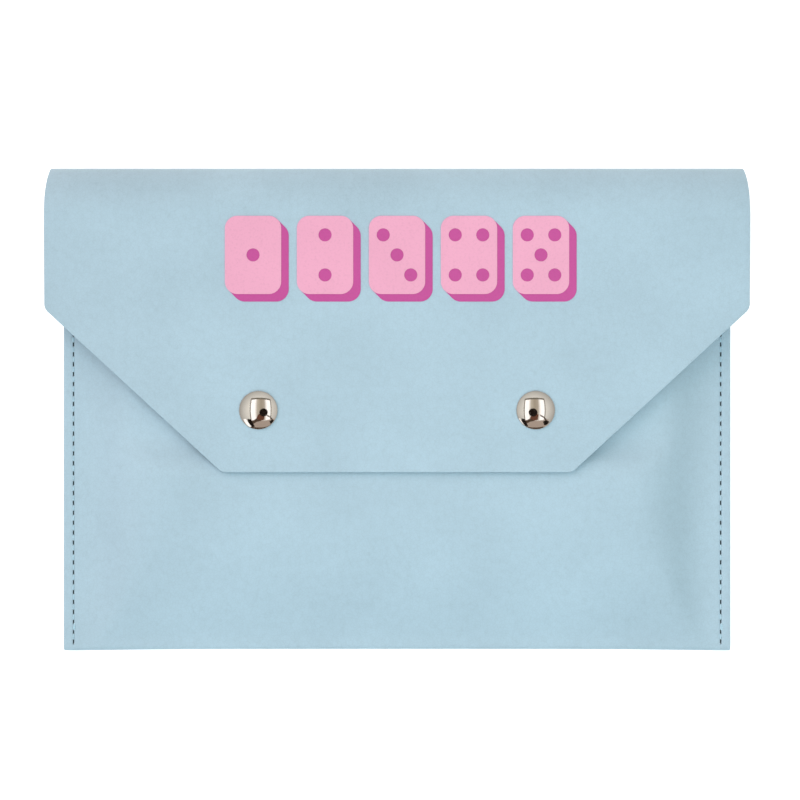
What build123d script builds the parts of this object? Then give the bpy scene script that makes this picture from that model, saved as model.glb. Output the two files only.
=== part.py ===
from build123d import *
import math
import os

os.makedirs("parts", exist_ok=True)

# An envelope pouch for playing cards. It lies on its back with the front up:
# X across, Y from the bottom fold to the top roll, Z through the thickness.
# The origin is under the middle of the pouch, on the surface it lies on.

# Sheet and outline
leather = 1.2
pouch_width = 217.0
pouch_height = 156.7
flap_width = 226.0
flap_length = 98.2
flap_edge_width = 112.0
flap_diagonal_rise = 52.4
flap_edge_fillet = 4.0
flap_corner_fillet = 3.5
mouth_drop = 28.15
flare_below_mouth = 6.0
flare_above_mouth = 5.0

# Pocket, pressed flat at the seams and at the bottom fold, and drawn in under the snaps
pocket_gap = 5.6
bulge = 3.6
bulge_drop = 2.6
snap_level_half = 6.7
bottom_fold_gap = 0.3
seam_margin = 6.0
side_rise = 28.0
fold_handle = 6.0
bulge_handle = 30.0

# Top roll, opened by the bends of a living hinge: some tight ones, then a soft one
tight_hinges = 2
tight_swing = 66.0
soft_swing = 44.0
tight_radius = 3.8
hinge_gap = 0.5
flap_droop = 1.8
flap_middle_droop = 1.4
flap_flat_half = 66.0

# Side seams
stitch_inset = 3.15
stitch_pitch = 3.225
stitch_bottom = 3.0
stitch_top = 2.2
slit_length = 1.4
slit_width = 0.5
thread = 0.42
thread_clearance = 0.03

# Snap fasteners
snap_spacing = 88.6
snap_rise = 19.9
rivet_radius = 1.6
rivet_bore = 1.2
rivet_clearance = 0.05
cap_radius = 6.25
cap_wall = 0.35
cap_skirt = 0.25
cap_dome_radius = 13.0
cap_rim_radius = 0.5
socket_flange_radius = 5.2
socket_flange = 0.45
socket_radius = 3.9
socket_height = 3.5
socket_cavity_radius = 3.1
socket_lip = 0.3
stud_flange_radius = 4.6
stud_flange = 0.5
stud_neck_radius = 2.5
stud_neck_height = 1.25
stud_head_radius = 2.8
stud_head_height = 1.15
stud_wall = 0.4
snap_running_gap = 0.2
spring_wire = 0.6
spring_clearance = 0.06
spring_opening = 30.0
post_flange_radius = 4.2
post_flange = 0.5
rivet_flare = 0.35
rivet_flare_reach = 0.7
snap_edge_fillet = 0.15

# Printed tiles on the flap
film = 0.15
tile_count = 5
tile_width = 18.0
tile_height = 25.0
tile_gap = 5.0
tile_fillet = 4.0
tile_shadow = 2.4
dot_radius = 2.1
dot_spread_x = 4.4
dot_spread_y = 6.4
print_drop = 16.2

# Places that follow from the sizes above
top_y = pouch_height / 2
bottom_y = -pouch_height / 2
fold_radius = bottom_fold_gap + leather
bottom_fold_y = bottom_y + fold_radius
mouth_y = top_y - mouth_drop
seam_top = 2 * leather
crown = 2 * leather + pocket_gap
bulge_top = crown + bulge
crown_foot = pouch_width / 2 - seam_margin
crown_edge = crown_foot - side_rise
snap_stack = stud_flange + snap_running_gap + socket_height
flap_under = crown + snap_stack
flap_top = flap_under + leather
flap_edge_y = top_y - flap_length
snap_y = flap_edge_y + snap_rise
bulge_y = flap_edge_y - bulge_drop
snap_level_y = snap_y - snap_level_half
snap_x = snap_spacing / 2

# The roll turns tightly through all its bends but the last, which is a soft one.
hinge_count = tight_hinges + 1
tight_bend = tight_hinges * tight_swing
soft_bend = 180 - tight_bend
roll_rise = flap_under
tight_rise = tight_radius * (1 - math.cos(math.radians(tight_bend)))
soft_radius = (roll_rise - tight_rise) / (1 - math.cos(math.radians(soft_bend)))
roll_y = top_y - tight_radius - leather / 2
tight_center = Vector(roll_y, leather / 2 + tight_radius)
soft_center = tight_center - Vector(soft_radius - tight_radius, 0).rotate(Axis.Z, tight_bend - 90)
flat_y = soft_center.X


def save(piece, name):
    piece.label = name
    export_step(piece, f"parts/{name}.step")


def arc_band(center, radius, start, sweep):
    """Section of the sheet along an arc, across the roll."""
    with BuildSketch(Plane.YZ) as band:
        with BuildLine():
            outer = CenterArc(center, radius + leather / 2, start, sweep)
            inner = CenterArc(center, radius - leather / 2, start, sweep)
            Line(outer @ 0, inner @ 0)
            Line(outer @ 1, inner @ 1)
        make_face()
    return band.sketch


def roll_strip(first_bend, last_bend):
    """The rolled sheet between two bends, counted in degrees from the back panel."""
    with BuildPart() as strip:
        if first_bend < tight_bend:
            sweep = min(last_bend, tight_bend) - first_bend
            band = arc_band(tight_center, tight_radius, first_bend - 90, sweep)
            extrude(band, amount=flap_width / 2, both=True)
        if last_bend > tight_bend:
            start = max(first_bend, tight_bend)
            band = arc_band(soft_center, soft_radius, start - 90, last_bend - start)
            extrude(band, amount=flap_width / 2, both=True)
    return strip.part


def hinge_bend(index):
    """Bend at which living hinge number index lies, in degrees."""
    if index <= tight_hinges:
        return tight_swing * (index - 0.5)
    return tight_bend + soft_bend / 2


def gap_bend(index):
    """Half of the clearance at a hinge, as a bend in degrees."""
    radius = tight_radius if index <= tight_hinges else soft_radius
    return math.degrees(hinge_gap / 2 / radius)


def strip_between(first_hinge, last_hinge):
    """The rolled sheet from one living hinge to the next."""
    start = hinge_bend(first_hinge) + gap_bend(first_hinge)
    return roll_strip(start, hinge_bend(last_hinge) - gap_bend(last_hinge))


def roll_point(bend):
    """Middle of the sheet's thickness at a bend, as (Y, Z)."""
    center, radius = (tight_center, tight_radius) if bend <= tight_bend else (soft_center, soft_radius)
    return center + Vector(radius, 0).rotate(Axis.Z, bend - 90)


def hinge_axis(index):
    """Axis about which one bend opens so that the sheet keeps its length, as (Y, Z)."""
    first_bend = tight_swing * (index - 1)
    if index <= tight_hinges:
        last_bend, radius, swing = tight_swing * index, tight_radius, tight_swing
    else:
        last_bend, radius, swing = 180, soft_radius, soft_swing
    bend = last_bend - first_bend
    length = radius * math.radians(bend)
    opened_direction = first_bend + (bend - swing) / 2
    opened_end = roll_point(first_bend) + Vector(length, 0).rotate(Axis.Z, opened_direction)
    turned_end = roll_point(last_bend).rotate(Axis.Z, -swing)
    shift = opened_end - turned_end
    lever = 1 / math.tan(math.radians(swing / 2))
    return Vector((shift.X + lever * shift.Y) / 2, (shift.Y - lever * shift.X) / 2)


# Stitch holes, one row along each side seam
first_stitch_y = bottom_y + stitch_bottom
stitch_count = math.floor((mouth_y - stitch_top - first_stitch_y) / stitch_pitch) + 1
stitch_run = (stitch_count - 1) * stitch_pitch
stitch_x = pouch_width / 2 - stitch_inset
groove_depth = thread + thread_clearance
with BuildSketch(Plane.XY) as slits:
    with Locations((0, first_stitch_y + stitch_run / 2)):
        with GridLocations(2 * stitch_x, stitch_pitch, 2, stitch_count):
            Rectangle(slit_width, slit_length)
with BuildSketch(Plane.XY) as grooves:
    with Locations((0, first_stitch_y + stitch_run / 2)):
        with GridLocations(2 * stitch_x, stitch_pitch, 2, 1):
            Rectangle(slit_width, stitch_run + slit_length)
with BuildSketch(Plane.XY) as rivet_holes:
    with Locations((0, snap_y)):
        with GridLocations(snap_spacing, snap_spacing, 2, 1):
            Circle(rivet_radius + rivet_clearance)


# Back panel, which widens above the pocket mouth and starts the roll
back_roll = roll_strip(0, hinge_bend(1) - gap_bend(1))
with BuildPart() as back_panel:
    with BuildSketch(Plane.XY):
        with BuildLine():
            Line((0, bottom_fold_y), (pouch_width / 2, bottom_fold_y))
            flare_start = (pouch_width / 2, mouth_y - flare_below_mouth)
            flare_end = (flap_width / 2, mouth_y + flare_above_mouth)
            Line((pouch_width / 2, bottom_fold_y), flare_start)
            Bezier(flare_start, (pouch_width / 2, mouth_y), (flap_width / 2, mouth_y), flare_end)
            Line(flare_end, (flap_width / 2, roll_y))
            Line((flap_width / 2, roll_y), (0, roll_y))
            mirror(about=Plane.YZ)
        make_face()
    extrude(amount=leather)
    add(back_roll)
    extrude(slits.sketch, amount=leather, mode=Mode.SUBTRACT)
    extrude(grooves.sketch, amount=groove_depth, mode=Mode.SUBTRACT)
back_panel.part.label = "back_panel"
export_step(back_panel.part, "parts/back_panel.step")


# Front panel with the bottom fold: one pressed form seen across and along
def across_section(foot_height, crown_height, outer_half, base):
    """Half-width profile of the pocket front, mirrored to both sides."""
    handle = side_rise / 2
    with BuildSketch(Plane.XZ) as section:
        with BuildLine():
            Line((0, crown_height), (crown_edge, crown_height))
            Bezier(
                (crown_edge, crown_height),
                (crown_edge + handle, crown_height),
                (crown_foot - handle, foot_height),
                (crown_foot, foot_height),
            )
            if outer_half > crown_foot:
                Line((crown_foot, foot_height), (outer_half, foot_height))
            if foot_height > base:
                Line((outer_half, foot_height), (outer_half, base))
            Line((outer_half, base), (0, base))
            mirror(about=Plane.YZ)
        make_face()
    return section.sketch


def along_section(fold, bulge_height, crown_height, end_y, base):
    """Profile of the pocket front from round the bottom fold, over the bulge, to the mouth."""
    fold_top = fold_radius + fold
    middle_y = (bulge_y + snap_level_y) / 2
    with BuildSketch(Plane.YZ) as section:
        with BuildLine():
            CenterArc((bottom_fold_y, fold_radius), fold, 90, 180)
            Bezier(
                (bottom_fold_y, fold_top),
                (bottom_fold_y + fold_handle, fold_top),
                (bulge_y - bulge_handle, bulge_height),
                (bulge_y, bulge_height),
            )
            Bezier(
                (bulge_y, bulge_height),
                (middle_y, bulge_height),
                (middle_y, crown_height),
                (snap_level_y, crown_height),
            )
            Line((snap_level_y, crown_height), (end_y, crown_height))
            Line((end_y, crown_height), (end_y, base))
            Line((end_y, base), (bottom_fold_y, base))
            if fold_radius - fold < base:
                Line((bottom_fold_y, base), (bottom_fold_y, fold_radius - fold))
        make_face()
    return section.sketch


outer_across = across_section(seam_top, bulge_top, pouch_width / 2, 0)
outer_along = along_section(fold_radius, bulge_top, crown, mouth_y, leather)
inner_across = across_section(leather, bulge_top - leather, crown_foot, leather)
inner_along = along_section(
    bottom_fold_gap, bulge_top - leather, crown - leather, mouth_y + leather, leather
)
with BuildPart() as pocket_space:
    extrude(inner_across, amount=pouch_height, both=True)
    extrude(inner_along, amount=pouch_width, both=True, mode=Mode.INTERSECT)
with BuildPart() as front_panel:
    extrude(outer_across, amount=pouch_height, both=True)
    extrude(outer_along, amount=pouch_width, both=True, mode=Mode.INTERSECT)
    add(pocket_space.part, mode=Mode.SUBTRACT)
    extrude(rivet_holes.sketch, amount=crown, mode=Mode.SUBTRACT)
    extrude(slits.sketch, amount=seam_top, mode=Mode.SUBTRACT)
    with BuildSketch(Plane.XY.offset(seam_top - groove_depth)):
        add(grooves.sketch)
    extrude(amount=groove_depth, mode=Mode.SUBTRACT)
front_panel.part.label = "front_panel"
export_step(front_panel.part, "parts/front_panel.step")


# Strips of the top roll between the bends of the living hinge
for strip_index in range(1, hinge_count):
    save(strip_between(strip_index, strip_index + 1), f"fold_strip_{strip_index}")


# Flap: the last part of the roll, then a sheet whose side edges droop a little
def flap_section(y, droop):
    """Section across the flap at one height, in a plane square to Y."""
    bend_x = (flap_flat_half + flap_width / 2) / 2
    with BuildSketch(Plane.XZ.offset(-y)) as section:
        with BuildLine():
            for level, surface in enumerate((flap_top, flap_under)):
                Line((0, surface), (flap_flat_half, surface))
                edge = (flap_width / 2, surface - droop)
                Bezier((flap_flat_half, surface), (bend_x, surface), edge)
            Line((flap_width / 2, flap_top - droop), (flap_width / 2, flap_under - droop))
            mirror(about=Plane.YZ)
        make_face()
    return section.sketch


with BuildSketch(Plane.XY) as flap_outline:
    with BuildLine():
        edge_half = flap_edge_width / 2
        corner_y = flap_edge_y + flap_diagonal_rise
        FilletPolyline(
            (0, flap_edge_y),
            (edge_half, flap_edge_y),
            (flap_width / 2, corner_y),
            (flap_width / 2, top_y),
            (0, top_y),
            radius=(flap_edge_fillet, flap_corner_fillet, 0),
        )
        mirror(about=Plane.YZ)
    make_face()

flap_middle_y = (flat_y + flap_edge_y) / 2
flap_sections = [
    flap_section(flat_y, 0),
    flap_section(flap_middle_y, flap_middle_droop),
    flap_section(flap_edge_y, flap_droop),
]
flap_roll = roll_strip(hinge_bend(hinge_count) + gap_bend(hinge_count), 180)
with BuildPart() as flap_sheet:
    loft(flap_sections)
    extrude(flap_outline.sketch, amount=flap_top, mode=Mode.INTERSECT)
    add(flap_roll)
    extrude(rivet_holes.sketch, amount=flap_top, mode=Mode.SUBTRACT)
flap_sheet.part.label = "flap_sheet"
export_step(flap_sheet.part, "parts/flap_sheet.step")


# Lockstitch threads: each dips into the slits and meets the other half way down
def stitch_thread(x, surface_z, turn_z):
    """One thread of a side seam, square in section, from the bottom stitch to the mouth."""
    leg = slit_length / 2 - thread / 2 - thread_clearance
    middle_y = first_stitch_y + stitch_run / 2
    with BuildPart() as seam_thread:
        with BuildSketch(Plane.YZ.offset(x)):
            with Locations((middle_y, surface_z)):
                with GridLocations(stitch_pitch, stitch_pitch, stitch_count - 1, 1):
                    Rectangle(stitch_pitch - 2 * leg + thread, thread)
            with Locations((middle_y, turn_z)):
                with GridLocations(stitch_pitch, stitch_pitch, stitch_count, 1):
                    Rectangle(2 * leg + thread, thread)
            with Locations((middle_y, (surface_z + turn_z) / 2)):
                with GridLocations(stitch_pitch, stitch_pitch, stitch_count, 1):
                    with Locations((-leg, 0), (leg, 0)):
                        Rectangle(thread, abs(surface_z - turn_z) + thread)
        extrude(amount=thread / 2, both=True)
    return seam_thread.part


needle_z = seam_top - groove_depth + thread / 2
needle_turn_z = leather + thread / 2 + thread_clearance
for side, x in (("left", -stitch_x), ("right", stitch_x)):
    save(stitch_thread(x, needle_z, needle_turn_z), f"needle_thread_{side}")
    save(stitch_thread(x, seam_top - needle_z, seam_top - needle_turn_z), f"bobbin_thread_{side}")


# Snap fasteners, turned profiles drawn from the snap's own axis outwards
hole_radius = rivet_radius + rivet_clearance
socket_plate = flap_under - socket_flange
socket_mouth = flap_under - socket_height
stud_base = crown + stud_flange
stud_neck_top = stud_base + stud_neck_height
stud_top = stud_neck_top + stud_head_height
stud_cavity_radius = stud_neck_radius - stud_wall
spring_radius = stud_neck_radius + spring_clearance + spring_wire / 2
spring_z = socket_mouth + socket_lip + spring_clearance + spring_wire / 2
groove_radius = spring_radius + spring_wire / 2 + spring_clearance


def snap_cap(plane):
    """Domed cap with its tubular rivet, flared inside the socket."""
    slope = math.degrees(math.asin((cap_radius - cap_rim_radius) / (cap_dome_radius - cap_rim_radius)))
    rim_z = flap_top + cap_skirt
    rim_rise = cap_rim_radius * math.cos(math.radians(slope))
    top_z = rim_z + rim_rise + cap_dome_radius * (1 - math.cos(math.radians(slope)))
    base_z = flap_top + cap_wall
    with BuildPart() as cap:
        with BuildSketch(plane):
            with BuildLine():
                dome = JernArc((0, top_z), (1, 0), cap_dome_radius, -slope)
                rim = JernArc(dome @ 1, dome % 1, cap_rim_radius, slope - 90)
                lining = JernArc((0, top_z - cap_wall), (1, 0), cap_dome_radius - cap_wall, -slope)
                rim_lining = JernArc(lining @ 1, lining % 1, cap_rim_radius - cap_wall, slope - 90)
                Polyline(
                    rim @ 1,
                    (cap_radius, flap_top),
                    (rivet_radius, flap_top),
                    (rivet_radius, socket_plate),
                    (rivet_radius + rivet_flare_reach, socket_plate),
                    (rivet_radius + rivet_flare_reach, socket_plate - rivet_flare),
                    (rivet_bore, socket_plate - rivet_flare),
                    (rivet_bore, base_z),
                    (cap_radius - cap_wall, base_z),
                    rim_lining @ 1,
                )
                Line((0, top_z - cap_wall), (0, top_z))
            make_face()
        revolve(axis=Axis(plane.origin, (0, 0, 1)))
    return cap.part


def snap_socket(plane):
    """Socket under the flap, open below and grooved for its spring."""
    with BuildPart() as socket:
        with BuildSketch(plane):
            with BuildLine():
                Polyline(
                    (hole_radius, flap_under),
                    (socket_flange_radius, flap_under),
                    (socket_flange_radius, socket_plate),
                    (socket_radius, socket_plate),
                    (socket_radius, socket_mouth),
                    (socket_cavity_radius, socket_mouth),
                    (socket_cavity_radius, socket_mouth + socket_lip),
                    (groove_radius, socket_mouth + socket_lip),
                    (groove_radius, spring_z + spring_wire / 2 + spring_clearance),
                    (socket_cavity_radius, spring_z + spring_wire / 2 + spring_clearance),
                    (socket_cavity_radius, socket_plate),
                    (hole_radius, socket_plate),
                    close=True,
                )
            make_face()
        revolve(axis=Axis(plane.origin, (0, 0, 1)))
        outer_edges = socket.edges().filter_by(GeomType.CIRCLE).filter_by(
            lambda edge: edge.radius >= socket_radius and edge.center().Z < flap_under
        )
        fillet(outer_edges, snap_edge_fillet)
    return socket.part


def socket_spring(plane):
    """Split wire ring that closes on the neck of the stud."""
    with BuildPart() as spring:
        with BuildSketch(plane):
            with Locations((spring_radius, spring_z)):
                Circle(spring_wire / 2)
        revolve(axis=Axis(plane.origin, (0, 0, 1)), revolution_arc=360 - spring_opening)
    return spring.part


def snap_stud(plane):
    """Hollow stud on the pocket front, with a bulged head."""
    head_radius = stud_cavity_radius
    with BuildPart() as stud:
        with BuildSketch(plane):
            with BuildLine():
                bulge = Spline(
                    (stud_neck_radius, stud_neck_top - stud_head_height / 2),
                    (stud_head_radius, stud_neck_top + stud_head_height / 3),
                    (head_radius, stud_top),
                    tangents=((0, 1), (-1, 0)),
                )
                Polyline(
                    bulge @ 1,
                    (0, stud_top),
                    (0, stud_top - stud_wall),
                    (stud_cavity_radius, stud_top - stud_wall),
                    (stud_cavity_radius, stud_base + stud_wall),
                    (hole_radius, stud_base + stud_wall),
                    (hole_radius, crown),
                    (stud_flange_radius, crown),
                    (stud_flange_radius, stud_base),
                    (stud_neck_radius, stud_base),
                    bulge @ 0,
                )
            make_face()
        revolve(axis=Axis(plane.origin, (0, 0, 1)))
        flange_rim = stud.edges().filter_by(
            lambda edge: edge.geom_type == GeomType.CIRCLE and edge.radius > stud_head_radius
        ).sort_by(Axis.Z)[-1]
        fillet(flange_rim, snap_edge_fillet)
    return stud.part


def stud_post(plane):
    """Eyelet inside the pocket that holds the stud on the front panel."""
    panel_under = crown - leather
    flare_z = stud_base + stud_wall
    with BuildPart() as post:
        with BuildSketch(plane):
            with BuildLine():
                Polyline(
                    (rivet_bore, panel_under - post_flange),
                    (post_flange_radius, panel_under - post_flange),
                    (post_flange_radius, panel_under),
                    (rivet_radius, panel_under),
                    (rivet_radius, flare_z),
                    (stud_cavity_radius - rivet_clearance, flare_z),
                    (stud_cavity_radius - rivet_clearance, flare_z + rivet_flare),
                    (rivet_bore, flare_z + rivet_flare),
                    close=True,
                )
            make_face()
        revolve(axis=Axis(plane.origin, (0, 0, 1)))
        flange_rim = post.edges().filter_by(GeomType.CIRCLE).group_by(Axis.Z)[0].sort_by(SortBy.RADIUS)[-1]
        fillet(flange_rim, snap_edge_fillet)
    return post.part


for side, x in (("left", -snap_x), ("right", snap_x)):
    snap_plane = Plane(origin=(x, snap_y, 0), x_dir=(1, 0, 0), z_dir=(0, -1, 0))
    save(snap_cap(snap_plane), f"snap_cap_{side}")
    save(snap_socket(snap_plane), f"snap_socket_{side}")
    save(socket_spring(snap_plane), f"socket_spring_{side}")
    save(snap_stud(snap_plane), f"snap_stud_{side}")
    save(stud_post(snap_plane), f"stud_post_{side}")


# Printed tiles: a dark film that carries a paler face, shifted like a shadow
tile_pitch = tile_width + tile_gap
tile_y = top_y - print_drop - tile_height / 2
dot_places = {
    1: [(0, 0)],
    2: [(0, -1), (0, 1)],
    3: [(-1, 1), (0, 0), (1, -1)],
    4: [(-1, -1), (1, -1), (-1, 1), (1, 1)],
    5: [(-1, -1), (1, -1), (0, 0), (-1, 1), (1, 1)],
}
tile_centers = [((index - (tile_count - 1) / 2) * tile_pitch, tile_y) for index in range(tile_count)]

with BuildPart() as print_shadow:
    for center in tile_centers:
        with BuildSketch(Plane.XY.offset(flap_top)):
            with Locations(center, (center[0] + tile_shadow, center[1] - tile_shadow)):
                RectangleRounded(tile_width, tile_height, tile_fillet)
            make_hull()
    extrude(amount=film)
print_shadow.part.label = "print_shadow"
export_step(print_shadow.part, "parts/print_shadow.step")

with BuildPart() as print_face:
    with BuildSketch(Plane.XY.offset(flap_top + film)):
        with Locations(tile_centers):
            RectangleRounded(tile_width, tile_height, tile_fillet)
        for index, center in enumerate(tile_centers):
            dots = dot_places[index % len(dot_places) + 1]
            with Locations([(center[0] + i * dot_spread_x, center[1] + j * dot_spread_y) for i, j in dots]):
                Circle(dot_radius, mode=Mode.SUBTRACT)
    extrude(amount=film)
print_face.part.label = "print_face"
export_step(print_face.part, "parts/print_face.step")

print(f"soft roll radius {soft_radius:.2f}, flat from Y {flat_y:.2f}, {stitch_count} stitches a side")
for hinge_index in range(1, hinge_count + 1):
    axis_place = hinge_axis(hinge_index)
    print(f"hinge {hinge_index}: Y {axis_place.X:.3f}, Z {axis_place.Y:.3f}")
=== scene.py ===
import bmesh
import bpy
import math
import numpy as np
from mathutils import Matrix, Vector


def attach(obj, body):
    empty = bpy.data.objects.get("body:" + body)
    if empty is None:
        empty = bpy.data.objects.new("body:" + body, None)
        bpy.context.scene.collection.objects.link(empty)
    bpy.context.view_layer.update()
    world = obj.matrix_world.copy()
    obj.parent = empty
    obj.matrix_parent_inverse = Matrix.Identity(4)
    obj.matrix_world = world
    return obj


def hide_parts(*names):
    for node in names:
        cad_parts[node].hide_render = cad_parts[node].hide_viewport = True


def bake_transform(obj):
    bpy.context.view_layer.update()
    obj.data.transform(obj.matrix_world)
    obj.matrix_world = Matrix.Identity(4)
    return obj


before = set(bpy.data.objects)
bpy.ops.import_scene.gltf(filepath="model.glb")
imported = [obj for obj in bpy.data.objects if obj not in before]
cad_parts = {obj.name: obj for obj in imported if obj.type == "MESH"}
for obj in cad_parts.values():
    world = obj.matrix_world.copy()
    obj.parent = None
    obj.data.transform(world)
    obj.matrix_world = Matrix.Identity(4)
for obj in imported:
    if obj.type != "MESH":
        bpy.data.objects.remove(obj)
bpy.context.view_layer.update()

# Lengths are in millimetres, in the part's own frame, until a mesh is made. Only the stage, at the end, is in
# metres throughout.
MM = 0.001

# Sheet and outline. The flare is a curve from the pouch's width to the flap's, given by its control points.
LEATHER = 1.2
POUCH_HALF = 108.5
FLAP_HALF = 113.0
TOP_Y = 78.35
BOTTOM_Y = -78.35
MOUTH_Y = 50.2
FLARE = ((POUCH_HALF, 44.2), (POUCH_HALF, MOUTH_Y), (FLAP_HALF, MOUTH_Y), (FLAP_HALF, 55.2))

# Pocket: levels of its outer face, then the places and handles of the curves between them
SEAM_TOP = 2.4
FOLD_TOP = 3.0
CROWN = 8.0
BULGE = 11.6
BULGE_Y = -22.45
SNAP_LEVEL_Y = -6.65
CROWN_EDGE = 74.5
CROWN_FOOT = 104.0
SIDE_HANDLE = 14.0
FOLD_HANDLE = 6.0
BULGE_HANDLE = 30.0
PUFF = 4
LAYER_GAP = 0.01

# Bottom fold, which bows up a little between the seams
FOLD_Y = -76.85
FOLD_LIFT = 0.5
LIFT_REACH = 104
FOLD_BORE = 0.02
FOLD_EDGE_RADIUS = SEAM_TOP / 2
FOLD_STEPS = 17

# Unevenness of the panels: length and seed of its waves, its height, and how far from a snap it is full
POCKET_WAVES = (90.0, 5)
POCKET_UNEVEN = 0.16
POCKET_SETTLE = 0.1
POCKET_CALM = 14
FLAP_WAVES = (80.0, 3)
FLAP_UNEVEN = 0.10
FLAP_CALM = 16
FLAP_EVEN_Y = 28
FLAP_EVEN_FADE = 14
BACK_WAVES = (110.0, 9)
BACK_HOLLOW = 0.18
HOLLOW_HALF = 100
HOLLOW_LOW = -70
HOLLOW_HIGH = 68
HOLLOW_FADE = 15
HOLLOW_SIDE_FADE = 20

# Top roll: its three spans in degrees of bend, each between two bodies
TIGHT_BEND = 132.0
TIGHT_RADIUS = 3.8
TIGHT_CENTER = (73.95, 4.4)
SOFT_RADIUS = 17.70
SOFT_CENTER = (63.62, -4.90)
ROLL_SPANS = ((0.0, 66.0), (66.0, 132.0), (132.0, 180.0))
ROLL_BODIES = (("pouch", "fold_1"), ("fold_1", "fold_2"), ("fold_2", "flap"))
ROLL_STEPS = 37
ROLL_TAPER = 0.95
TAPER_REACH = 5.5
PAST_BEND = 1e-6

# Flap
FLAP_TOP = 13.4
FLAT_Y = SOFT_CENTER[0]
FLAP_EDGE_Y = -19.85
FLAP_EDGE_HALF = 56.0
FLAP_CORNER_Y = 32.55
FLAP_EDGE_FILLET = 4.0
FLAP_CORNER_FILLET = 3.5
FLAT_HALF = 66.0
DROOP_SLOPE = 3.8
DROOP_CURVE = 2.0
STRAIGHT_HALF = 51.0

# Seams: slits, and the valley that the thread pulls into the face
STITCH_X = 105.35
STITCH_PITCH = 3.225
FIRST_STITCH = -75.35
STITCHES = 39
SLIT_HALF = 0.9
SLIT_SIDE = 0.25
FRONT_VALLEY = 0.24
BACK_VALLEY = 0.44
VALLEY_HALF = 0.5
VALLEY_END = 2.2
VALLEY_FADE = 1.2
PUCKER = 0.15

# Threads: twisted plies that turn inside a slit, rise, and come out on the face
PLIES = 2
PLY_SIDES = 7
PLY_RADIUS = 0.13
PLY_OFFSET = 0.11
PLY_TWIST = 1.15
TURN_HALF = 0.55
RISE_HALF = 0.72
OUT_HALF = 0.94
STITCH_ARCH = 0.10
STITCH_SWAY = 0.05
STITCH_PARTS = 3
TACK_STEPS = ((0.0, 0.3), (0.12, 0.46), (0.3, 0.78))
TACK_ASIDE = 0.36
TACK_ARCH = 0.14
TACK_PARTS = 5
# Depths in a slit over which painted shade darkens the thread
BURY_FROM = 0.12
BURY_SPAN = 0.26
NEEDLE = {"surface": 2.36, "turn": 1.5, "seed": 1054}
BOBBIN = {"surface": 0.36, "turn": 0.92, "seed": 1055}

# Snaps
SNAPS = ((-44.3, 0.05), (44.3, 0.05))
SNAP_HOLE = 1.65
SNAP_REACH = 5.0
CAP_RADIUS = 6.25
CAP_DOME = 13.0
CAP_RIM = 0.5
CAP_SKIRT = 0.25
CAP_WALL = 0.35
SKIRT_ROUND = 0.10
SKIRT_BEVEL = 0.03
RIVET_RADIUS = 1.6
RIVET_BORE = 1.2
RIVET_FOOT = 11.75
ROLLED_RADIUS = 2.3
ROLLED_WALL = 0.35
ROLLED_SIDE = 0.27
ROLLED_ROUND = 0.1

# Rounding of a cut edge: its radius, how much of it the face drops, and where grid lines follow it
EDGE_RADIUS = 0.28
EDGE_DEPTH = 0.8
EDGE_STEPS = (0.0, 0.05, 0.14, 0.28)

# Material slots of a sheet's mesh
COAT, CUT, BACKING = 0, 1, 2

# Sockets of a Mix node that mixes colours
COLOR_A, COLOR_B, COLOR_RESULT = 6, 7, 2


# Materials
def new_material(name):
    material = bpy.data.materials.new(name)
    material.use_nodes = True
    tree = material.node_tree
    return material, tree, tree.nodes["Principled BSDF"]


def set_inputs(tree, node, inputs):
    """Input values of a node, links among them."""
    for key, value in inputs.items():
        if isinstance(value, bpy.types.NodeSocket):
            tree.links.new(value, node.inputs[key])
        else:
            node.inputs[key].default_value = value


def add(tree, kind, inputs=None, **settings):
    """A node with its settings and inputs."""
    node = tree.nodes.new(kind)
    for key, value in settings.items():
        setattr(node, key, value)
    set_inputs(tree, node, inputs or {})
    return node


def attribute(tree, name):
    return add(tree, "ShaderNodeAttribute", attribute_name=name)


def coordinates(tree, kind):
    return add(tree, "ShaderNodeTexCoord").outputs[kind]


def noise(tree, place, scale, detail):
    inputs = {"Vector": place, "Scale": scale, "Detail": detail}
    return add(tree, "ShaderNodeTexNoise", inputs).outputs["Fac"]


def cells(tree, place, scale, feature):
    inputs = {"Vector": place, "Scale": scale}
    return add(tree, "ShaderNodeTexVoronoi", inputs, feature=feature).outputs["Distance"]


def mapped(tree, place, **transform):
    return add(tree, "ShaderNodeMapping", {"Vector": place, **transform}).outputs["Vector"]


def ranged(tree, value, limits):
    return add(tree, "ShaderNodeMapRange", {"Value": value, **limits}).outputs["Result"]


def calculate(tree, operation, *values):
    return add(tree, "ShaderNodeMath", dict(enumerate(values)), operation=operation).outputs[0]


def multiply(tree, first, second):
    inputs = {"Factor": 1.0, COLOR_A: first, COLOR_B: second}
    mix = add(tree, "ShaderNodeMix", inputs, data_type="RGBA", blend_type="MULTIPLY")
    return mix.outputs[COLOR_RESULT]


def bump(tree, height, strength, distance):
    """A normal bumped by a height, its distance in metres."""
    inputs = {"Height": height, "Strength": strength, "Distance": distance}
    return add(tree, "ShaderNodeBump", inputs).outputs["Normal"]


def ramp(tree, factor, stops):
    node = add(tree, "ShaderNodeValToRGB", {"Fac": factor})
    while len(node.color_ramp.elements) < len(stops):
        node.color_ramp.elements.new(0.5)
    for element, (place, color) in zip(node.color_ramp.elements, stops):
        element.position = place
        element.color = (*color, 1.0)
    return node.outputs["Color"]


def grey(value):
    return (value, value, value)


def scaled(color, factor):
    return tuple(min(c * factor, 1.0) for c in color)


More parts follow.
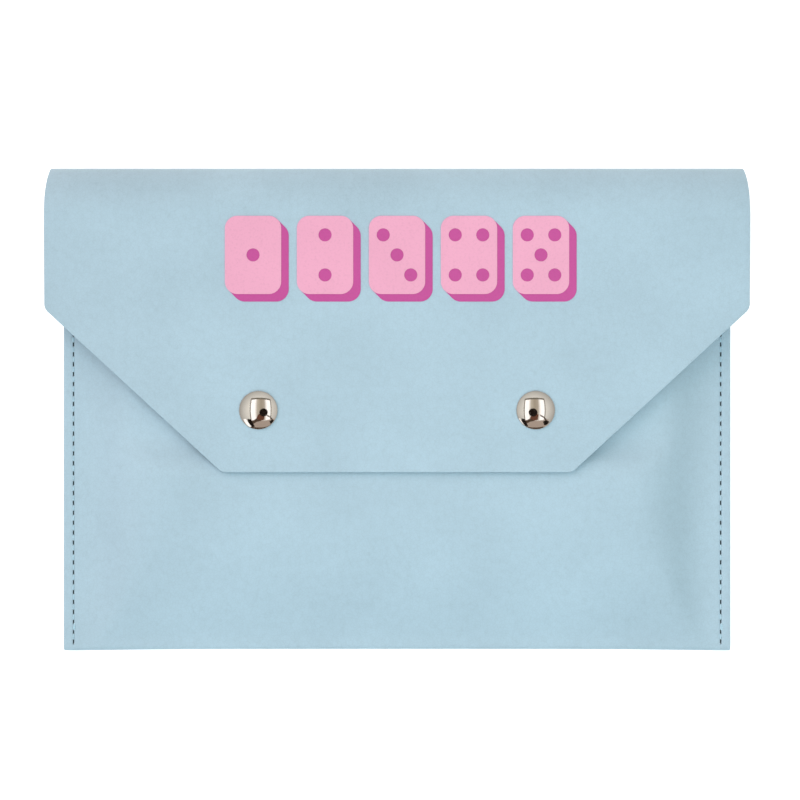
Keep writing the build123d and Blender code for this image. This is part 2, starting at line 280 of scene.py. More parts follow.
def leather_material(name, color, grain, roughness):
    """Coated face of the sheet: fine pebbles and creases, with faint mottling in colour and gloss, and painted
    shade along the creases.
    """
    material, tree, shader = new_material(name)
    place = attribute(tree, "develop").outputs["Vector"]
    broad = noise(tree, place, 28.0, 3.0)
    mottle = noise(tree, place, 420.0, 5.0)
    fine = noise(tree, place, 3200.0, 2.0)
    pebbles = cells(tree, place, 1500.0, "SMOOTH_F1")
    creases = cells(tree, place, 950.0, "DISTANCE_TO_EDGE")
    base = ramp(tree, broad, ((0.34, scaled(color, 0.955)), (0.66, scaled(color, 1.03))))
    speck = ramp(tree, mottle, ((0.3, grey(0.955)), (0.62, grey(1.0))))
    # Painted shade: the colour darkens along the creases of the grain
    crease_shade = ramp(tree, creases, ((0.0, grey(0.93)), (0.09, grey(1.0))))
    level = calculate(tree, "MULTIPLY", pebbles, -0.5)
    level = calculate(tree, "ADD", level, ranged(tree, creases, {"From Max": 0.12}))
    level = calculate(tree, "MULTIPLY_ADD", fine, 0.35, level)
    set_inputs(tree, shader, {
        "Base Color": multiply(tree, multiply(tree, base, speck), crease_shade),
        "Roughness": ranged(tree, mottle, {"To Min": roughness - 0.07, "To Max": roughness + 0.08}),
        "Normal": bump(tree, level, grain, 0.00004),
        "Specular IOR Level": 0.35,
    })
    return material


def backing_material(name, color):
    """Knitted backing on the sheet's inner face, darker where the knit lies low as painted shade in its hollows,
    with random tone.
    """
    material, tree, shader = new_material(name)
    place = attribute(tree, "develop").outputs["Vector"]
    knit = {"Vector": place, "Detail": 1.0, "Detail Scale": 3.0}
    across = add(tree, "ShaderNodeTexWave", {**knit, "Scale": 420.0, "Distortion": 1.2}, bands_direction="X")
    along = add(tree, "ShaderNodeTexWave", {**knit, "Scale": 300.0, "Distortion": 1.6}, bands_direction="Y")
    loops = calculate(tree, "MULTIPLY", across.outputs["Fac"], along.outputs["Fac"])
    level = calculate(tree, "MULTIPLY_ADD", noise(tree, place, 900.0, 4.0), 0.6, loops)
    set_inputs(tree, shader, {
        # Painted shade: the colour follows the knit's height, darker in its hollows, mixed with random tone
        "Base Color": ramp(tree, level, ((0.15, scaled(color, 0.82)), (0.9, scaled(color, 1.06)))),
        "Normal": bump(tree, level, 0.6, 0.00012),
        "Roughness": 0.9,
        "Specular IOR Level": 0.15,
        "Sheen Weight": 0.25,
        "Sheen Roughness": 0.5,
    })
    return material


def cut_edge_material(name, color):
    """Raw cut edge: a coloured coat over a greyer fibrous core."""
    material, tree, shader = new_material(name)
    place = attribute(tree, "develop").outputs["Vector"]
    fibre = noise(tree, mapped(tree, place, Scale=(1.0, 1.0, 4.0)), 900.0, 6.0)
    patch = noise(tree, place, 90.0, 3.0)
    tint = ramp(tree, fibre, ((0.35, scaled(color, 0.8)), (0.65, color)))
    worn = ramp(tree, patch, ((0.35, grey(0.9)), (0.6, grey(1.0))))
    set_inputs(tree, shader, {
        "Base Color": multiply(tree, tint, worn),
        "Normal": bump(tree, fibre, 0.7, 0.00008),
        "Roughness": 0.78,
        "Specular IOR Level": 0.2,
    })
    return material


def thread_material(name, color, slit_shade_color):
    """Twisted polyester: fine filaments along each ply, a soft sheen, and painted shade that darkens it where it
    lies deep in its slit.
    """
    material, tree, shader = new_material(name)
    filament = noise(tree, mapped(tree, coordinates(tree, "UV"), Scale=(6.0, 0.5, 1.0)), 9.0, 3.0)
    tint = ramp(tree, filament, ((0.3, scaled(color, 0.88)), (0.7, color)))
    # Painted shade: the thread is darker the deeper it lies in its slit
    painted_slit_shade = ramp(tree, attribute(tree, "bury").outputs["Fac"], ((0.0, grey(1.0)), (1.0, slit_shade_color)))
    set_inputs(tree, shader, {
        "Base Color": multiply(tree, tint, painted_slit_shade),
        "Normal": bump(tree, filament, 0.5, 0.00003),
        "Roughness": 0.5,
        "Sheen Weight": 0.3,
    })
    return material


def metal_material(name, color, roughness, scratch):
    """Plated metal: micro scratches in the gloss and a faint haze in the colour."""
    material, tree, shader = new_material(name)
    place = coordinates(tree, "Object")
    haze = noise(tree, place, 260.0, 3.0)
    lines = noise(tree, mapped(tree, place, Scale=(0.25, 1.0, 1.0), Rotation=(0.0, 0.0, 0.5)), 5200.0, 2.0)
    gloss = {"From Min": 0.3, "From Max": 0.75, "To Min": roughness, "To Max": roughness + scratch}
    set_inputs(tree, shader, {
        "Base Color": ramp(tree, haze, ((0.35, scaled(color, 0.95)), (0.65, color))),
        "Roughness": ranged(tree, lines, gloss),
        "Normal": bump(tree, haze, 0.12, 0.00002),
        "Metallic": 1.0,
    })
    return material


def film_material(name, color):
    """Heat-pressed film: satin, with the sheet's grain showing faintly through."""
    material, tree, shader = new_material(name)
    place = coordinates(tree, "Object")
    broad = noise(tree, place, 60.0, 3.0)
    speckle = noise(tree, place, 1400.0, 4.0)
    tint = ramp(tree, broad, ((0.35, scaled(color, 0.965)), (0.65, color)))
    wear = ramp(tree, speckle, ((0.28, grey(0.93)), (0.5, grey(1.0))))
    set_inputs(tree, shader, {
        "Base Color": multiply(tree, tint, wear),
        "Roughness": ranged(tree, speckle, {"To Min": 0.36, "To Max": 0.52}),
        "Normal": bump(tree, cells(tree, place, 1500.0, "SMOOTH_F1"), 0.25, 0.00003),
        "Specular IOR Level": 0.4,
    })
    return material


leather = leather_material("pale_blue_leather", (0.383, 0.534, 0.623), 0.35, 0.5)
cut_edge = cut_edge_material("cut_edge", (0.34, 0.45, 0.51))
backing = backing_material("knitted_backing", (0.43, 0.53, 0.59))
# The last colour is painted shade for the thread deep in its slits
thread_coat = thread_material("pale_blue_thread", (0.58, 0.84, 0.95), (0.005, 0.035, 0.05))
nickel = metal_material("nickel_plate", (0.82, 0.76, 0.71), 0.04, 0.05)
spring_steel = metal_material("spring_wire", (0.55, 0.55, 0.55), 0.2, 0.15)
pink_film = film_material("pale_film", (0.77, 0.36, 0.51))
magenta_film = film_material("dark_film", (0.50, 0.062, 0.285))


# Mesh helpers
def finish_mesh(name, vertices, faces, materials, face_materials, develop=None, sharp=35.0):
    """An object of a closed mesh, given in millimetres, with its normals turned outwards."""
    mesh = bpy.data.meshes.new(name)
    mesh.from_pydata((np.asarray(vertices) * MM).tolist(), [], faces)
    for material in materials:
        mesh.materials.append(material)
    mesh.polygons.foreach_set("material_index", np.asarray(face_materials, np.int32))
    if develop is not None:
        layer = mesh.attributes.new("develop", "FLOAT_VECTOR", "POINT")
        layer.data.foreach_set("vector", (np.asarray(develop) * MM).astype(np.float32).ravel())
    work = bmesh.new()
    work.from_mesh(mesh)
    bmesh.ops.recalc_face_normals(work, faces=work.faces)
    work.to_mesh(mesh)
    work.free()
    mesh.shade_smooth()
    mesh.set_sharp_from_angle(angle=math.radians(sharp))
    mesh.validate()
    thing = bpy.data.objects.new(name, mesh)
    bpy.context.scene.collection.objects.link(thing)
    return thing


def sheet_mesh(name, outer, inner, keep, develop):
    """The leather sheet on a grid: outer face, inner face, and walls at its border and holes."""
    rows, columns = outer.shape[:2]
    index = np.arange(rows * columns).reshape(rows, columns)
    under = index + rows * columns
    faces, kinds, walls = [], [], []
    for r, c in zip(*np.nonzero(keep)):
        corners = ((r, c), (r, c + 1), (r + 1, c + 1), (r + 1, c))
        faces += [[index[k] for k in corners], [under[k] for k in reversed(corners)]]
        kinds += [COAT, BACKING]
    padded = np.zeros((rows + 1, columns + 1), bool)
    padded[1:-1, 1:-1] = keep
    for r in range(rows):
        for c in range(columns - 1):
            if padded[r, c + 1] != padded[r + 1, c + 1]:
                walls.append(((r, c), (r, c + 1)))
    for r in range(rows - 1):
        for c in range(columns):
            if padded[r + 1, c] != padded[r + 1, c + 1]:
                walls.append(((r, c), (r + 1, c)))
    faces += [[index[a], index[b], under[b], under[a]] for a, b in walls]
    kinds += [CUT] * len(walls)
    vertices = np.concatenate((outer.reshape(-1, 3), inner.reshape(-1, 3)))
    depth = np.zeros((rows * columns, 1))
    flat = develop.reshape(-1, 2)
    places = np.concatenate((np.hstack((flat, depth)), np.hstack((flat, depth - LEATHER))))
    used = np.unique(np.concatenate([np.asarray(f) for f in faces]))
    renumber = np.full(len(vertices), -1)
    renumber[used] = np.arange(len(used))
    faces = [[int(renumber[i]) for i in face] for face in faces]
    return finish_mesh(name, vertices[used], faces, (leather, cut_edge, backing), kinds, places[used])


def bezier(points, count=120):
    """Points along a Bezier curve."""
    points = np.asarray(points, float)
    t = np.linspace(0, 1, count)[:, None]
    degree = len(points) - 1
    return sum(math.comb(degree, i) * (1 - t) ** (degree - i) * t**i * p for i, p in enumerate(points))


def waves(x, y, size, seed):
    """Smooth unevenness, mostly between -1 and 1."""
    source = np.random.default_rng(seed)
    total = 0
    for _ in range(7):
        angle, phase = source.uniform(0, 2 * math.pi, 2)
        length = size * source.uniform(0.7, 1.6)
        total = total + np.sin(2 * math.pi * (x * math.cos(angle) + y * math.sin(angle)) / length + phase)
    return total / 4


def ease(distance, reach):
    """Share between 0 and 1 that grows with a distance until its reach."""
    return np.clip(distance / reach, 0, 1)


def off_snaps(x, y, reach):
    """Share between 0 at a snap's middle and 1 at its reach."""
    return ease(np.minimum.reduce([np.hypot(x - snap_x, y - snap_y) for snap_x, snap_y in SNAPS]), reach)


def edge_drop(distance):
    """How far a face of the sheet lies below its level at a distance from a cut edge."""
    share = np.clip(1 - distance / EDGE_RADIUS, 0, 1)
    return EDGE_DEPTH * EDGE_RADIUS * (1 - np.sqrt(1 - share**2))


def near_border(edge):
    """Grid lines that round a cut edge, measured inwards from it."""
    return [edge - step for step in EDGE_STEPS]


def mirrored(half_columns):
    """Full set of columns from those of the right half."""
    half = sorted(set(round(c, 4) for c in half_columns if c > 0))
    return np.array([-c for c in reversed(half)] + [0.0] + half)


hole_steps = [0.33, 0.99, SNAP_HOLE, 2.6, 3.8, SNAP_REACH]
snap_offsets = np.array([-step for step in reversed(hole_steps)] + hole_steps)
snap_columns = list(SNAPS[1][0] + snap_offsets)
snap_rows = list(SNAPS[1][1] + snap_offsets)
middle_columns = list(np.arange(5.0, 40, 5.0)) + snap_columns
stitch_rows = FIRST_STITCH + STITCH_PITCH * np.arange(STITCHES)


def round_holes(x, y):
    """Grid points moved so that the square cells left out at a snap make a round hole."""
    for snap_x, snap_y in SNAPS:
        dx, dy = x - snap_x, y - snap_y
        reach = np.maximum(np.abs(dx), np.abs(dy))
        radius = np.maximum(np.hypot(dx, dy), 1e-9)
        share = ease(SNAP_REACH - reach, SNAP_REACH - SNAP_HOLE)
        x = x + share * (dx * reach / radius - dx)
        y = y + share * (dy * reach / radius - dy)
    return x, y


def cell_middles(lines):
    return (lines[1:] + lines[:-1]) / 2


def open_cells(x_lines, y_lines, with_snaps, with_slits):
    """Which cells of a grid hold leather: none at the snaps' holes or the stitch slits."""
    x, y = np.meshgrid(cell_middles(x_lines), cell_middles(y_lines))
    keep = np.ones(x.shape, bool)
    if with_snaps:
        for snap_x, snap_y in SNAPS:
            keep &= ~((np.abs(x - snap_x) < SNAP_HOLE) & (np.abs(y - snap_y) < SNAP_HOLE))
    if with_slits:
        along = np.min(np.abs(y[..., None] - stitch_rows), axis=-1) < SLIT_HALF
        keep &= ~((np.abs(np.abs(x) - STITCH_X) < SLIT_SIDE) & along)
    return keep


# Pouch: the pocket's front, the bottom fold and the back, on one grid
seam_steps = np.array([-1.0, -0.6, -SLIT_SIDE, 0.0, SLIT_SIDE, 0.6, 1.0, 1.45])
pouch_columns = mirrored(
    middle_columns + list(np.arange(54.0, 74, 4.0))
    + list(np.arange(CROWN_EDGE, CROWN_FOOT - 0.5, 1.4)) + [CROWN_FOOT, 107.3, 107.8]
    + list(STITCH_X + seam_steps) + near_border(POUCH_HALF)
)
slit_rows = sorted(set(
    round(v, 4) for s in stitch_rows for v in (s - SLIT_HALF, s + SLIT_HALF, s + STITCH_PITCH / 2)
))
front_rows = np.array(sorted(set(
    [round(v, 4) for v in snap_rows] + slit_rows[:-1] + near_border(MOUTH_Y)
), reverse=True))
back_rows = np.array(sorted(set(slit_rows + [52.6, 55.2, 58.6, 62.6, 66.6, 70.4, TIGHT_CENTER[0]])))

across_curve = bezier((
    (CROWN_EDGE, 1.0), (CROWN_EDGE + SIDE_HANDLE, 1.0), (CROWN_FOOT - SIDE_HANDLE, 0.0), (CROWN_FOOT, 0.0)
))
fold_share = (FOLD_TOP - SEAM_TOP) / (BULGE - SEAM_TOP)
crown_share = (CROWN - SEAM_TOP) / (BULGE - SEAM_TOP)
middle_y = (BULGE_Y + SNAP_LEVEL_Y) / 2
along_curve = np.concatenate((
    bezier((
        (FOLD_Y, fold_share), (FOLD_Y + FOLD_HANDLE, fold_share), (BULGE_Y - BULGE_HANDLE, 1.0), (BULGE_Y, 1.0)
    )),
    bezier((
        (BULGE_Y, 1.0), (middle_y, 1.0), (middle_y, crown_share), (SNAP_LEVEL_Y, crown_share)
    ))[1:],
))
flare_curve = bezier(FLARE)


def pocket_height(x, y):
    """Level of the pocket front's outer face, puffed between its seams and its fold."""
    across = np.maximum(np.interp(np.abs(x), across_curve[:, 0], across_curve[:, 1]), 1e-3)
    along = np.interp(y, along_curve[:, 0], along_curve[:, 1])
    share = (across**-PUFF + along**-PUFF - 1) ** (-1 / PUFF)
    uneven = waves(x, y, *POCKET_WAVES) * POCKET_UNEVEN * across * np.clip((along - fold_share) * 2, 0, 1)
    calm = off_snaps(x, y, POCKET_CALM)
    return SEAM_TOP + (BULGE - SEAM_TOP) * share + uneven * calm - POCKET_SETTLE * calm * across


def tapered(x, y):
    """Columns drawn in a little towards the crest of the roll."""
    return x * (1 - ROLL_TAPER * np.exp((y - TOP_Y) / TAPER_REACH) / FLAP_HALF)


def stitch_valley(x, y, depth):
    """How far the thread has pulled the face in along a side seam."""
    low_end = ease(y - (FIRST_STITCH - VALLEY_END), VALLEY_FADE)
    high_end = ease(stitch_rows[-1] + VALLEY_END - y, VALLEY_FADE)
    puckers = 1 - PUCKER + PUCKER * np.cos(2 * math.pi * (y - FIRST_STITCH) / STITCH_PITCH)
    return depth * puckers * low_end * high_end * np.exp(-(((np.abs(x) - STITCH_X) / VALLEY_HALF) ** 2))


def sheet_half_width(y):
    """Half the width of the sheet, which flares at the pocket's mouth."""
    return np.interp(y, flare_curve[:, 1], flare_curve[:, 0])


def spread(x, half):
    """Columns beyond the seam stretched out to the sheet's edge."""
    inside = STITCH_X + SLIT_SIDE
    outside = np.sign(x) * (inside + (np.abs(x) - inside) * (half - inside) / (POUCH_HALF - inside))
    return np.where(np.abs(x) > inside, outside, x)


def side_rounding(x):
    """Drop of the face beside the two side edges, for columns before they are stretched."""
    return edge_drop(POUCH_HALF - np.abs(x))


x, y = round_holes(*np.meshgrid(pouch_columns, front_rows))
level = pocket_height(x, y)
lower = np.maximum(level - LEATHER, LEATHER + LAYER_GAP)
rounding = side_rounding(x) + edge_drop(MOUTH_Y - y)
front_outer = np.stack((x, y, level - stitch_valley(x, y, FRONT_VALLEY) - rounding), -1)
front_inner = np.stack((x, y, lower + rounding), -1)
front_develop = np.stack((x, MOUTH_Y - y), -1)

fold_radius = pocket_height(pouch_columns, np.full_like(pouch_columns, FOLD_Y)) / 2
fold_low = BOTTOM_Y + FOLD_LIFT * np.clip(1 - (np.abs(pouch_columns) / LIFT_REACH) ** 4, 0, 1)
fold_center = fold_low + fold_radius
fold_start = MOUTH_Y - fold_center
inside_radius = np.maximum(fold_radius - LEATHER, FOLD_BORE)
rounding = side_rounding(pouch_columns)


def fold_row(reach, turn):
    """One row of the fold's outer or inner face, at a turn from straight up."""
    along = fold_center + reach * math.cos(turn)
    return np.stack((pouch_columns, along, fold_radius + reach * math.sin(turn)), -1)


turns = np.radians(np.linspace(90, 270, FOLD_STEPS))
fold_outer = np.array([fold_row(fold_radius - rounding, turn) for turn in turns])
fold_inner = np.array([fold_row(inside_radius + rounding, turn) for turn in turns])
fold_develop = np.array([
    np.stack((pouch_columns, fold_start + FOLD_EDGE_RADIUS * (turn - math.pi / 2)), -1) for turn in turns
])

x, y = np.meshgrid(pouch_columns, back_rows)
rounding = side_rounding(x)
x = tapered(spread(x, sheet_half_width(y)), y)
hollow = BACK_HOLLOW * (0.5 + 0.5 * waves(x, y, *BACK_WAVES).clip(-1, 1))
hollow = hollow * ease(HOLLOW_HALF - np.abs(x), HOLLOW_SIDE_FADE)
hollow = hollow * ease(y - HOLLOW_LOW, HOLLOW_FADE) * ease(HOLLOW_HIGH - y, HOLLOW_FADE)
back_outer = np.stack((x, y, hollow + stitch_valley(x, y, BACK_VALLEY) + rounding), -1)
back_inner = np.stack((x, y, LEATHER + hollow - rounding), -1)
back_develop = np.stack((x, fold_start + FOLD_EDGE_RADIUS * math.pi + y - fold_center), -1)

# The fold's rows lie between those of the two panels, with a strip of cells to each.
develop = np.concatenate((front_develop, fold_develop, back_develop))
keep = np.concatenate((
    open_cells(pouch_columns, front_rows, True, True),
    np.ones((FOLD_STEPS + 1, len(pouch_columns) - 1), bool),
    open_cells(pouch_columns, back_rows, False, True),
))
pouch = sheet_mesh(
    "leather_pouch", np.concatenate((front_outer, fold_outer, back_outer)),
    np.concatenate((front_inner, fold_inner, back_inner)), keep, develop,
)
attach(pouch, "pouch")
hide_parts("back_panel", "front_panel")
back_length = float(develop[-1, 0, 1])


# Top roll
def roll_point(bend, lift):
    """Point of the sheet at a bend in degrees, lifted outwards from its middle."""
    center, radius = (TIGHT_CENTER, TIGHT_RADIUS) if bend <= TIGHT_BEND else (SOFT_CENTER, SOFT_RADIUS)
    angle = math.radians(bend - 90)
    return (center[0] + (radius + lift) * math.cos(angle), center[1] + (radius + lift) * math.sin(angle))


roll_columns = mirrored(list(np.arange(8.0, 112, 8.0)) + near_border(FLAP_HALF))
side_lift = LEATHER / 2 - edge_drop(FLAP_HALF - np.abs(roll_columns))


def roll_row(bend, lifts):
    """One row of a face of the roll."""
    points = np.array([roll_point(bend, float(lift)) for lift in lifts])
    return np.column_stack((tapered(roll_columns, points[:, 0]), points))


roll_start = back_length
for number, ((first, last), bodies) in enumerate(zip(ROLL_SPANS, ROLL_BODIES), 1):
    radius = TIGHT_RADIUS if last <= TIGHT_BEND else SOFT_RADIUS
    bends = np.linspace(first, last, ROLL_STEPS)
    if first >= TIGHT_BEND:
        bends[0] += PAST_BEND  # the soft span's own start, not the tight span's end
    outer = np.array([roll_row(bend, side_lift) for bend in bends])
    inner = np.array([roll_row(bend, -side_lift) for bend in bends])
    runs = roll_start + radius * np.radians(bends - first)
    develop = np.stack(np.meshgrid(roll_columns, runs), -1)
    roll_start = runs[-1]
    keep = np.ones((ROLL_STEPS - 1, len(roll_columns) - 1), bool)
    roll = sheet_mesh(f"leather_roll_{number}", outer, inner, keep, develop)
    start, end = (np.array(roll_point(b, 0.0)) for b in (first + PAST_BEND, last))
    direction = (end - start) / np.linalg.norm(end - start)
    margin = LEATHER / 2 * math.sin(math.radians((last - first) / 2))
    start, end = start + direction * margin, end - direction * margin
    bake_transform(roll)
    if number > 1:
        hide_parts(f"fold_strip_{number - 1}")


# Flap
def fillet_corner(before, corner, after, radius, count=14):
    """Points of the arc that rounds a corner."""
    before, corner, after = (np.array(p, float) for p in (before, corner, after))
    a = (before - corner) / np.linalg.norm(before - corner)
    b = (after - corner) / np.linalg.norm(after - corner)
    half = math.acos(float(a @ b)) / 2
    reach = radius / math.tan(half)
    center = corner + (a + b) / np.linalg.norm(a + b) * radius / math.sin(half)
    first, last = corner + a * reach - center, corner + b * reach - center
    angle = math.acos(float(first @ last) / radius**2)
    return [
        center + (first * math.sin((1 - t) * angle) + last * math.sin(t * angle)) / math.sin(angle)
        for t in np.linspace(0, 1, count)
    ]


edge_end, side_end = (FLAP_EDGE_HALF, FLAP_EDGE_Y), (FLAP_HALF, FLAP_CORNER_Y)
low_corner = fillet_corner((0, FLAP_EDGE_Y), edge_end, side_end, FLAP_EDGE_FILLET)
high_corner = fillet_corner(edge_end, side_end, (FLAP_HALF, TOP_Y), FLAP_CORNER_FILLET)
flap_outline = np.array(low_corner + high_corner + [(FLAP_HALF, FLAT_Y)])
flap_rows = np.array(sorted(set(
    [round(float(v), 4) for v in np.concatenate((
        flap_outline[:-1, 1], np.linspace(FLAP_EDGE_Y + 4, FLAT_Y, 56),
        [FLAP_EDGE_Y + step for step in EDGE_STEPS], snap_rows,
    ))]
), reverse=True))
flap_columns = mirrored(
    middle_columns + [STRAIGHT_HALF] + list(np.arange(STRAIGHT_HALF + 2.5, 112, 2.5)) + near_border(FLAP_HALF)
)


def flap_half_width(y):
    return np.interp(y, flap_outline[:, 1], flap_outline[:, 0])


def flap_x(x, half):
    """Columns beyond the snaps drawn in to the flap's own outline, its edge rounding kept."""
    soft = FLAP_HALF - EDGE_STEPS[-1]
    span = half - EDGE_STEPS[-1]
    drawn = STRAIGHT_HALF + (np.abs(x) - STRAIGHT_HALF) * (span - STRAIGHT_HALF) / (soft - STRAIGHT_HALF)
    rim = half - (FLAP_HALF - np.abs(x))
    beyond = np.where(np.abs(x) <= soft, drawn, rim)
    return np.sign(x) * np.where(np.abs(x) <= STRAIGHT_HALF, np.abs(x), beyond)


def flap_droop(x, y):
    """How far the flap hangs below its level beside the pocket's crown."""
    share = ease(FLAT_Y - y, FLAT_Y - FLAP_EDGE_Y)
    reach = ease(np.abs(x) - FLAT_HALF, FLAP_HALF - FLAT_HALF)
    return (DROOP_SLOPE * share - DROOP_CURVE * share**2) * reach**2


x, y = np.meshgrid(flap_columns, flap_rows)
rounding = edge_drop(FLAP_HALF - np.abs(x)) + edge_drop(y - FLAP_EDGE_Y)
x = tapered(flap_x(x, flap_half_width(y)), y)
x, y = round_holes(x, y)
calm = off_snaps(x, y, FLAP_CALM) * ease(FLAP_EVEN_Y - y, FLAP_EVEN_FADE)
level = FLAP_TOP - flap_droop(x, y) - FLAP_UNEVEN * calm * (1 + waves(x, y, *FLAP_WAVES))
outer = np.stack((x, y, level - rounding), -1)
inner = np.stack((x, y, level - LEATHER + rounding), -1)
develop = np.stack((x, roll_start + FLAT_Y - y), -1)
flap = sheet_mesh("leather_flap", outer, inner, open_cells(flap_columns, flap_rows, True, False), develop)
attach(flap, "flap")
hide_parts("flap_sheet")


# Threads
def smooth_path(points, parts):
    """Catmull-Rom curve through points."""
    points = np.asarray(points, float)
    padded = np.concatenate((points[:1], points, points[-1:]))
    t = np.linspace(0, 1, parts, endpoint=False)[:, None]
    pieces = []
    for a, b, c, d in zip(padded, padded[1:], padded[2:], padded[3:]):
        pieces.append(
            0.5 * (2 * b + (c - a) * t + (2 * a - 5 * b + 4 * c - d) * t**2 + (3 * b - a - 3 * c + d) * t**3)
        )
    return np.concatenate(pieces + [points[-1:]])


def unit(vectors):
    return vectors / np.linalg.norm(vectors, axis=1)[:, None]


def twisted(path):
    """Vertices, faces and UVs of plies twisted round a path."""
    tangent = unit(np.gradient(path, axis=0))
    side = np.cross(tangent, (0.0, 0.0, 1.0))
    side[np.linalg.norm(side, axis=1) < 0.3] = (1.0, 0.0, 0.0)
    side = unit(side)
    side *= np.where(side[:, :1] < 0, -1.0, 1.0)
    normal = np.cross(side, tangent)
    run = np.concatenate(([0], np.cumsum(np.linalg.norm(np.diff(path, axis=0), axis=1))))
    vertices, faces, uvs = [], [], []
    for ply in range(PLIES):
        base = len(vertices)
        for i, point in enumerate(path):
            turn = 2 * math.pi * (run[i] / PLY_TWIST + ply / PLIES)
            middle = point + PLY_OFFSET * (math.cos(turn) * side[i] + math.sin(turn) * normal[i])
            for k in range(PLY_SIDES):
                a = 2 * math.pi * k / PLY_SIDES + turn
                vertices.append(middle + PLY_RADIUS * (math.cos(a) * side[i] + math.sin(a) * normal[i]))
                uvs.append((k / PLY_SIDES, run[i]))
        for i in range(len(path) - 1):
            for k in range(PLY_SIDES):
                a, b = base + i * PLY_SIDES + k, base + i * PLY_SIDES + (k + 1) % PLY_SIDES
                faces.append((a, b, b + PLY_SIDES, a + PLY_SIDES))
        faces.append(tuple(base + k for k in reversed(range(PLY_SIDES))))
        end = base + (len(path) - 1) * PLY_SIDES
        faces.append(tuple(end + k for k in range(PLY_SIDES)))
    return vertices, faces, uvs


def seam_points(x, surface, turn, seed):
    """Course of one thread of a lockstitch seam, with slightly uneven stitches."""
    source = np.random.default_rng(seed)
    depth = (surface + turn) / 2
    high = surface + STITCH_ARCH * math.copysign(1, surface - turn)
    points = []
    for place in stitch_rows:
        lean = source.uniform(-STITCH_SWAY, STITCH_SWAY)
        points += [(x, place - TURN_HALF, turn), (x, place + TURN_HALF, turn)]
        if place < stitch_rows[-1]:
            points += [
                (x, place + RISE_HALF, depth),
                (x + lean * 0.5, place + OUT_HALF, surface),
                (x + lean, place + STITCH_PITCH / 2, high),
                (x + lean * 0.5, place + STITCH_PITCH - OUT_HALF, surface),
                (x, place + STITCH_PITCH - RISE_HALF, depth),
            ]
    return smooth_path(points, STITCH_PARTS)


def back_tack(x, surface, turn, first):
    """Second pass of the thread over one stitch, laid beside the first."""
    start, end = stitch_rows[first], stitch_rows[first + 1]
    crest = (x + TACK_ASIDE, (start + end) / 2, surface + TACK_ARCH * math.copysign(1, surface - turn))
    steps = list(zip(TACK_STEPS, (turn, (surface + turn) / 2, surface)))
    rise = [(x + aside, start + along, height) for (aside, along), height in steps]
    fall = [(x + aside, end - along, height) for (aside, along), height in reversed(steps)]
    return smooth_path(rise + [crest] + fall, TACK_PARTS)


def thread_piece(name, node, x, surface, turn, seed):
    """One thread of a seam, which takes the place of its node."""
    vertices, faces, uvs = [], [], []
    paths = [seam_points(x, surface, turn, seed)]
    paths += [back_tack(x, surface, turn, first) for first in (1, STITCHES - 3)]
    for path in paths:
        more, quads, places = twisted(path)
        faces += [tuple(i + len(vertices) for i in quad) for quad in quads]
        vertices += more
        uvs += places
    thing = finish_mesh(name, vertices, faces, (thread_coat,), [0] * len(faces), sharp=60)
    layer = thing.data.uv_layers.new(name="along")
    corner = np.zeros(len(thing.data.loops), np.int32)
    thing.data.loops.foreach_get("vertex_index", corner)
    layer.data.foreach_set("uv", np.array(uvs, np.float32)[corner].ravel())
    # How deep each point of the thread lies in its slit, which sets its painted shade
    depth = (surface - np.array(vertices)[:, 2]) / (surface - turn)
    bury = ease(depth - BURY_FROM, BURY_SPAN).astype(np.float32)
    thing.data.attributes.new("bury", "FLOAT", "POINT").data.foreach_set("value", bury)
    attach(thing, "pouch")
    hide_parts(node)


for side, x in (("left", -STITCH_X), ("right", STITCH_X)):
    thread_piece(f"seam_thread_{side}", f"needle_thread_{side}", x, **NEEDLE)
    thread_piece(f"under_thread_{side}", f"bobbin_thread_{side}", x, **BOBBIN)


# Snap caps
def arc_points(center, radius, first, last, count):
    """Points of a profile's arc, its angles in degrees from straight up towards the rim."""
    angles = np.radians(np.linspace(first, last, count))
    return [(center[0] + radius * math.sin(a), center[1] + radius * math.cos(a)) for a in angles]


def lathe(name, profile, center, material, segments=128):
    """Turned piece: a closed profile of (radius, height) that starts and ends on the axis."""
    vertices, rings, faces = [], [], []
    for radius, height in profile:
        if radius < 1e-6:
            rings.append([len(vertices)] * segments)
            vertices.append((center[0], center[1], height))
            continue
        rings.append(list(range(len(vertices), len(vertices) + segments)))
        for k in range(segments):
            a = 2 * math.pi * k / segments
            vertices.append((center[0] + radius * math.cos(a), center[1] + radius * math.sin(a), height))
    for low, high in zip(rings, rings[1:]):
        for k in range(segments):
            after = (k + 1) % segments
            faces.append(list(dict.fromkeys((low[k], low[after], high[after], high[k]))))
    return finish_mesh(name, vertices, faces, (material,), [0] * len(faces), sharp=40)


